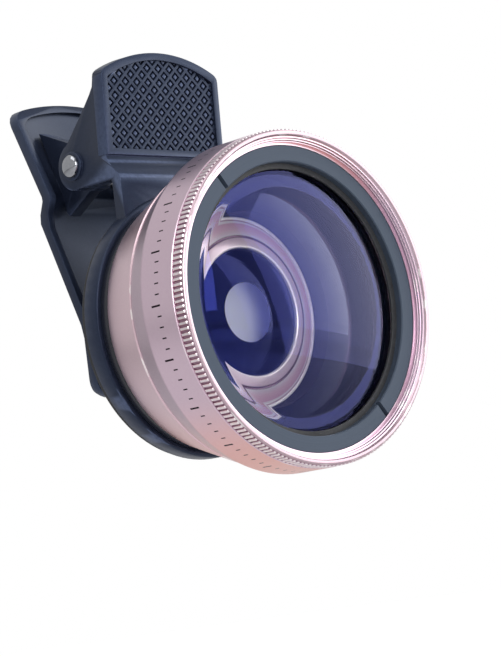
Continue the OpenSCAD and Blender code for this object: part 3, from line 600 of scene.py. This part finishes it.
def springMesh(look):
    # one round wire: a leg to the front handle, five turns, a leg to the rear handle
    def legAngle(dy, dz, side):
        return math.atan2(dz, dy) + side * math.acos(look["coilR"] / math.hypot(dy, dz))

    lean = math.tan(math.radians(look["frontLean"]))
    rearLean = math.radians(look["rearLean"])
    frontEnd = (look["frontWallY"] - look["frontRise"] * lean + look["wireR"] + look["frontGap"] - clip["pinY"],
                look["frontRise"])
    rearFace = (look["kneeY"] + (clip["pinZ"] + look["rearRise"] - look["kneeZ"]) * math.tan(rearLean)
                - look["rearWall"] / math.cos(rearLean))
    rearEnd = (rearFace - look["wireR"] - look["rearGap"] - clip["pinY"], look["rearRise"])
    first = legAngle(*frontEnd, 1)
    last = legAngle(*rearEnd, -1) + 2 * math.pi * (look["turns"] + 1)
    length = (2 * look["wireR"] + look["coilGap"]) * (last - first) / (2 * math.pi)
    steps = 48 * look["turns"]
    route = []
    for k in range(9):
        t = k / 8
        start = (-length / 2, look["coilR"] * math.cos(first), look["coilR"] * math.sin(first))
        route.append((-length / 2, frontEnd[0] * (1 - t) + start[1] * t, frontEnd[1] * (1 - t) + start[2] * t, first))
    for i in range(1, steps):
        t = i / steps
        a = first + (last - first) * t
        route.append((length * (t - 0.5), look["coilR"] * math.cos(a), look["coilR"] * math.sin(a), a))
    for k in range(9):
        t = k / 8
        end = (length / 2, look["coilR"] * math.cos(last), look["coilR"] * math.sin(last))
        route.append((length / 2, end[1] * (1 - t) + rearEnd[0] * t, end[2] * (1 - t) + rearEnd[1] * t, last))
    verts, faces, sides = [], [], 14
    for k, (x, y, z, a) in enumerate(route):
        for s in range(sides):
            q = 2 * math.pi * s / sides
            grow = look["wireR"] * (0.8 if k in (0, len(route) - 1) else 1)
            out, across = grow * math.cos(q), grow * math.sin(q)
            verts.append(((x + across) * mm, (clip["pinY"] + y + out * math.cos(a)) * mm,
                          (clip["pinZ"] + z + out * math.sin(a)) * mm))
        if k:
            b = (k - 1) * sides
            for s in range(sides):
                n = (s + 1) % sides
                faces.append((b + s, b + n, b + sides + n, b + sides + s))
    faces.append(tuple(range(sides)))
    faces.append(tuple(range(len(verts) - sides, len(verts))))
    mesh = bpy.data.meshes.new("clipSpring")
    mesh.from_pydata(verts, [], faces)
    smoothMesh(mesh, 50)
    return mesh, length


springLook = {"wireR": 0.55, "coilR": 3.2, "coilGap": 0.12, "turns": 5, "frontRise": 9.45, "frontLean": 3.4,
              "frontWallY": 1.2, "frontGap": 0.25, "rearRise": 5.2, "rearLean": 24, "rearWall": 1.9, "rearGap": 0.35,
              "kneeY": 16.75, "kneeZ": 24.8}
wireMesh, coilLength = springMesh(springLook)
spring = addPiece("clipSpring", wireMesh, "springWire", None, ["torsion_spring"])
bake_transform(spring)
print("clip built")


# the macro lens

macro = {"back": 6.0, "front": 15.65, "rearR": 20.9, "seamR": 24.25, "edge": 0.22}
macroBarrel = turnedPiece("macroBarrel", [
    (14.6, 4.4), (16.8, 2.4), (17.2, 2.4, 0.1), (17.62, 2.7), (17.62, macro["back"]),
    (macro["rearR"] - macro["edge"], macro["back"], 0.05), (macro["rearR"], macro["back"] + macro["edge"], 0.05),
    (macro["seamR"], macro["front"] - macro["edge"], 0.05), (macro["seamR"] - macro["edge"], macro["front"], 0.05),
    (19.55, macro["front"]), (19.55, 10.9), (16.05, 10.9), (16.05, 5.5), (14.6, 5.5)],
    "macroRose", "macro_shell", ["macro_barrel"], 288)
macroThread = addPiece("macroThread", threadMesh("macroThread", {
    "start": 2.9, "end": 5.6, "pitch": 0.75, "base": 17.6, "crest": 17.99, "sunk": 17.3}),
    "macroRose", "macro_shell")


def lensFace(curve, edgeR, depth, count=28):
    # points from the edge to the axis of a face that bulges away from the phone
    reach = math.asin(edgeR / curve)
    return [(curve * math.sin(reach * (1 - i / count)),
             depth + curve * (math.cos(reach * (1 - i / count)) - math.cos(reach))) for i in range(count + 1)]


def hollowFace(curve, edgeR, top, count=28):
    # points from the axis outwards on the hollow back of a glass, up to its edge
    reach = math.asin(edgeR / curve)
    return [(curve * math.sin(reach * i / count), top - curve + curve * math.cos(reach * i / count))
            for i in range(count)]


macroGlass = turnedPiece("macroGlass", [(0, 5.5), (15.95, 5.5, 0.15), (15.95, 7.0, 0.15)] + lensFace(50, 14.6, 7.0),
                         "macroGlass", "macro_core", ["macro_glass"])
softEdgedCopy("macro_retaining_ring", "macroRetainingRing", 0.06, "innerBlack", "macro_core")
print("macro lens built")


# the wide angle lens

wide = {"back": 15.7, "front": 29.8, "outerR": 26.2, "seamR": 24.25, "taper": 4.8, "knurlBack": 27.65,
        "knurlFront": 29.5, "teeth": 200, "toothR": 26.16, "grooveR": 25.9}
wideBarrel = turnedPiece("wideBarrel", [
    (16.4, 11.1), (18.9, 11.1, 0.1), (19.1, 11.3), (19.1, wide["back"]), (wide["seamR"] - 0.2, wide["back"], 0.05),
    (wide["seamR"], wide["back"] + 0.2, 0.05), (wide["outerR"], wide["back"] + wide["taper"], 0.25),
    (wide["outerR"], 27.42, 0.05), (wide["outerR"] - 0.18, 27.52, 0.03),
    (wide["outerR"] - 0.02, wide["knurlBack"], 0.03),
    (25.62, wide["knurlBack"]), (25.62, wide["knurlFront"]), (25.98, wide["knurlFront"], 0.03), (25.86, 29.7, 0.06),
    (25.66, wide["front"], 0.06), (25.28, wide["front"], 0.06), (25.12, 29.62), (25.02, 29.38, 0.04), (24.8, 29.38),
    (24.7, 29.06, 0.04), (24.5, 29.06), (24.4, 28.74, 0.04), (24.28, 28.74), (24.26, 28.2),
    (23.9, 28.2), (23.9, 27.0), (21.85, 27.0), (21.85, 23.64), (20.3, 23.64), (20.3, 16.0), (17.0, 16.0),
    (17.0, 11.5), (16.4, 11.5)],
    "wideRose", "wide_shell", ["wide_barrel"], 320)
addPiece("wideBossThread", threadMesh("wideBossThread", {
    "start": 11.7, "end": 15.0, "pitch": 0.75, "base": 19.08, "crest": 19.49, "sunk": 18.7}),
    "wideRose", "wide_shell")


def knurlMesh(look):
    # square teeth with small chamfers all round, as a knurling wheel leaves them
    step = 2 * math.pi / look["teeth"]
    across = ((0.0, 0), (0.10, 0.75), (0.16, 1), (0.56, 1), (0.62, 0.75), (0.72, 0))
    back, front = look["knurlBack"], look["knurlFront"]
    rows = ((back, -1), (back, 0), (back + 0.14, 1), (front - 0.12, 1), (front, 0.1), (front, -1))
    verts, faces = [], []
    perRow = look["teeth"] * len(across)
    for depth, rise in rows:
        for i in range(look["teeth"]):
            for place, height in across:
                a = (i + place) * step
                radius = 25.4 if rise < 0 else look["grooveR"] + (look["toothR"] - look["grooveR"]) * height * rise
                verts.append((radius * math.cos(a) * mm, -depth * mm, radius * math.sin(a) * mm))
    for r in range(len(rows)):
        low, high = r * perRow, (r + 1) % len(rows) * perRow
        for s in range(perRow):
            n = (s + 1) % perRow
            faces.append((low + s, low + n, high + n, high + s))
    mesh = bpy.data.meshes.new("wideKnurl")
    mesh.from_pydata(verts, [], faces)
    smoothMesh(mesh, 25)
    return mesh


knurl = addPiece("wideKnurl", knurlMesh(wide), "wideRose", "wide_shell")
def slottedRingMesh(look):
    mesh = turnedMesh("frontRetainingRing", [
        (look["innerR"], look["back"]), (look["outerR"], look["back"]), (look["outerR"], look["face"] - 0.08),
        (look["outerR"] - 0.08, look["face"]), (look["innerR"] + 0.16, look["face"]),
        (look["innerR"], look["face"] - 0.16)], look["steps"])
    for vert in mesh.vertices:
        angle = math.degrees(math.atan2(vert.co.z, vert.co.x))
        off = min(abs((angle - slot + 180) % 360 - 180) for slot in look["slots"])
        if off < look["slotHalf"]:
            vert.co.y = max(vert.co.y, -(look["face"] - look["slotDeep"]) * mm)
    smoothMesh(mesh)
    return mesh


frontRing = addPiece("frontRetainingRing", slottedRingMesh({
    "innerR": 21.3, "outerR": 23.85, "back": 27.0, "face": 28.2, "steps": 720, "slots": (-52, 128),
    "slotHalf": 0.8, "slotDeep": 0.84}), "slateRing", "wide_shell", ["front_retaining_ring"])
weighNormals(frontRing)

frontGlass = turnedPiece("frontGlass", [(18.0, 23.64), (21.8, 23.64, 0.2), (21.8, 26.5, 0.2)]
                         + lensFace(80, 20.4, 26.5) + hollowFace(48, 18, 27.14),
                         "frontGlass", "wide_core", ["front_glass"], 256)
frontGasket = turnedPiece("frontGasket", [(20.4, 26.5, 0.1), (21.8, 26.5), (21.8, 27.0), (20.4, 27.0, 0.15)],
                          "padRubber", "wide_core", ["front_gasket"])

baffle = {"outerR": 20.25, "wall": 0.8, "tubeR": 16.95, "floor": 16.0, "low": 12.95, "top": 23.64}
steps = []
groove = baffle["floor"] + 3.0
while groove < baffle["top"] - 0.4:       # light trap grooves in the upper wall
    steps += [(baffle["outerR"] - baffle["wall"] + 0.18, groove), (baffle["outerR"] - baffle["wall"], groove + 0.18)]
    groove += 0.42
lightBaffle = turnedPiece("lightBaffle", [
    (baffle["tubeR"], baffle["low"]), (baffle["tubeR"], baffle["floor"]), (baffle["outerR"], baffle["floor"]),
    (baffle["outerR"], baffle["top"]), (baffle["outerR"] - baffle["wall"], baffle["top"], 0.1)] + steps[::-1]
    + [(baffle["outerR"] - baffle["wall"], baffle["floor"] + 2.8, 0.1),
       (baffle["tubeR"] - baffle["wall"], baffle["floor"] + 0.8, 0.1),
       (baffle["tubeR"] - baffle["wall"], baffle["low"])],
    "innerBlack", "wide_core", ["light_baffle"])

cell = {"bottom": 11.5, "shelf": 12.9, "lip": 13.7, "top": 14.4, "faceR": 16.1, "bandR": 15.2, "grooveR": 12.7,
        "clearR": 10.65, "boreR": 11.25, "outerR": 16.95}
cove = []
for i in range(1, 15):
    t = i / 14
    cove.append((cell["bandR"] + (cell["grooveR"] + 0.12 - cell["bandR"]) * t,
                 cell["shelf"] + 0.5 + (cell["top"] - 1.0 - cell["shelf"]) * t + 0.25 * (t * t - t)))
rearCell = turnedPiece("rearCell", [
    (cell["boreR"], cell["bottom"]), (cell["outerR"], cell["bottom"]), (cell["outerR"], cell["shelf"], 0.05),
    (cell["faceR"], cell["shelf"]), (cell["faceR"], cell["shelf"] + 0.4, 0.08),
    (cell["faceR"] - 0.35, cell["shelf"] + 0.4, 0.08), (cell["faceR"] - 0.35, cell["shelf"] + 0.15),
    (cell["bandR"], cell["shelf"] + 0.15), (cell["bandR"], cell["shelf"] + 0.5, 0.06)] + cove
    + [(cell["grooveR"] + 0.12, cell["top"] - 0.75), (cell["grooveR"] - 0.12, cell["top"] - 0.75),
       (cell["grooveR"] - 0.12, cell["top"] - 0.45, 0.05), (cell["clearR"] + 0.25, cell["top"], 0.1),
       (cell["clearR"], cell["top"] - 0.2, 0.1), (cell["clearR"], cell["lip"]), (cell["boreR"], cell["lip"])],
    "cellRose", "wide_core", ["rear_cell"], 256)
rearGlass = turnedPiece("rearGlass", [(0, 12.1), (11.15, 12.1, 0.1), (11.15, 13.7, 0.1)] + lensFace(34, 10.6, 13.7),
                        "rearGlass", "wide_core", ["rear_glass"])
lightStop = softEdgedCopy("light_stop", "lightStop", 0.05, "innerBlack", "wide_core")
softEdgedCopy("pin_washer", "clipPinWasher", 0.05, "pinChrome", "clip_front")
print("wide angle lens built")


# floor, backdrop and lamps

stage = {"floorZ": -0.085, "floorSize": 6.0, "worldLight": 0.36, "worldShine": 0.62,
         "floorColour": (0.86, 0.86, 0.87), "floorGlow": 0.9}


def makeFloorMaterial():
    material, tree, shader = startMaterial("paleFloor")
    shader.inputs["Base Color"].default_value = (*stage["floorColour"], 1)
    shader.inputs["Roughness"].default_value = 0.9
    shader.inputs["Specular IOR Level"].default_value = 0.1
    rays = tree.nodes.new("ShaderNodeLightPath")
    glow = addMath(tree, "MULTIPLY", rays.outputs["Is Camera Ray"], stage["floorGlow"])
    tree.links.new(glow, shader.inputs["Emission Strength"])
    shader.inputs["Emission Color"].default_value = (1, 1, 1, 1)
    return material


def makeStage():
    half = stage["floorSize"] / 2
    mesh = bpy.data.meshes.new("floor")
    z = stage["floorZ"]
    mesh.from_pydata([(-half, -half, z), (half, -half, z), (half, half, z), (-half, half, z)], [], [(0, 1, 2, 3)])
    mesh.materials.append(makeFloorMaterial())
    floor = bpy.data.objects.new("floor", mesh)
    scene.collection.objects.link(floor)
    world = bpy.data.worlds.new("studio")
    world.use_nodes = True
    scene.world = world
    tree = world.node_tree
    ground = tree.nodes["Background"]
    rays = tree.nodes.new("ShaderNodeLightPath")
    shine = addMath(tree, "MAXIMUM", rays.outputs["Is Glossy Ray"], rays.outputs["Is Transmission Ray"])
    glossy = addRange(tree, shine, 0.0, 1.0, stage["worldLight"], stage["worldShine"])
    seen = rays.outputs["Is Camera Ray"]
    ground.inputs["Color"].default_value = (1, 1, 1, 1)
    tree.links.new(addRange(tree, seen, 0.0, 1.0, glossy, 1.0), ground.inputs["Strength"])


def addLamp(name, look):
    data = bpy.data.lights.new(name, "AREA")
    data.shape = "RECTANGLE"
    data.size, data.size_y = look["width"], look["height"]
    data.energy = look["power"]
    data.color = look.get("colour", (1, 1, 1))
    back = (Vector(look["place"]) - Vector(look["aim"])).normalized()
    side = Vector(look["up"]).cross(back).normalized()
    lamp = bpy.data.objects.new(name, data)
    scene.collection.objects.link(lamp)
    turn = Matrix([side, back.cross(side), back]).transposed()
    lamp.matrix_world = Matrix.Translation(look["place"]) @ turn.to_4x4()
    return lamp


makeStage()
addLamp("rightSoftbox", {"place": (0.89, -0.448, 0.237), "aim": (0.029, 0.049, 0.132), "up": (-0.199, -0.14, 0.97),
                         "width": 1.2, "height": 1.6, "power": 12.5})
addLamp("topSoftbox", {"place": (-0.45, -0.15, 0.95), "aim": (0, 0, 0), "up": (0, 1, 0),
                       "width": 0.8, "height": 0.8, "power": 3.0})
addLamp("frontFill", {"place": (-0.3, -0.95, 0.3), "aim": (0, 0, 0), "up": (0, 0, 1),
                      "width": 0.5, "height": 0.5, "power": 4.0})
print("stage and lamps set")
